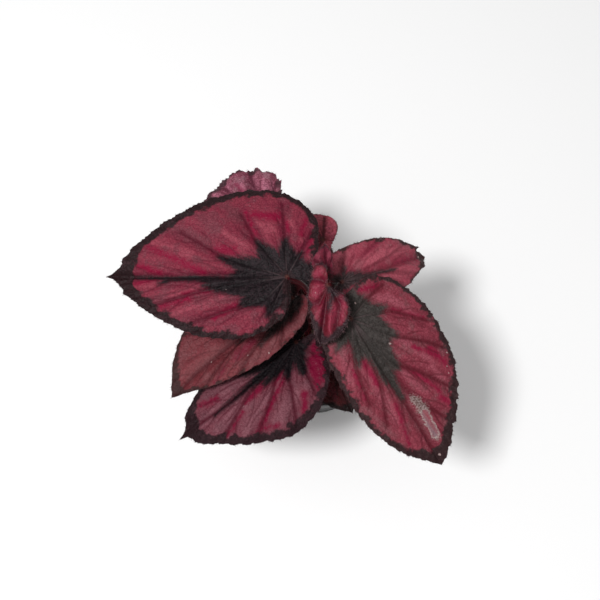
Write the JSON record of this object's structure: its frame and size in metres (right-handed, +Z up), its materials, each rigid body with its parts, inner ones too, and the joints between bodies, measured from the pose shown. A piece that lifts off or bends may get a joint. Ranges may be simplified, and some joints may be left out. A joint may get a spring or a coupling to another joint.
{
  "type": "potted begonia",
  "caption": "Small potted begonia with broad, pointed, dark-edged red leaves on hairy stalks, rising from a creeping rhizome in a plain round plastic nursery pot.",
  "frame": {"origin": "centre of the pot's flat underside, on the surface it stands on", "axes": "+Z up; -Y towards the front, where the viewer stands; +X to the viewer's right"},
  "size_m": [0.1618, 0.1492, 0.1373],
  "materials": {
    "leaf": "satin",
    "stalk": "satin",
    "rhizome": "matte",
    "soil": "matte",
    "pot": "satin"
  },
  "bodies": {
    "root": {"leaf_left_blade": "leaf", "leaf_front_right_blade": "leaf", "leaf_front_left_blade": "leaf", "leaf_low_left_blade": "leaf", "leaf_back_right_blade": "leaf", "leaf_back_left_blade": "leaf", "leaf_back_blade": "leaf", "leaf_young_blade": "leaf", "leaf_bud_blade": "leaf", "leaf_front_low_blade": "leaf", "leaf_left_stalk": "stalk", "leaf_front_right_stalk": "stalk", "leaf_front_left_stalk": "stalk", "leaf_low_left_stalk": "stalk", "leaf_back_right_stalk": "stalk", "leaf_back_left_stalk": "stalk", "leaf_back_stalk": "stalk", "leaf_young_stalk": "stalk", "leaf_bud_stalk": "stalk", "leaf_front_low_stalk": "stalk", "rhizome": "rhizome", "soil": "soil", "pot": "pot"}
  },
  "joints": []
}
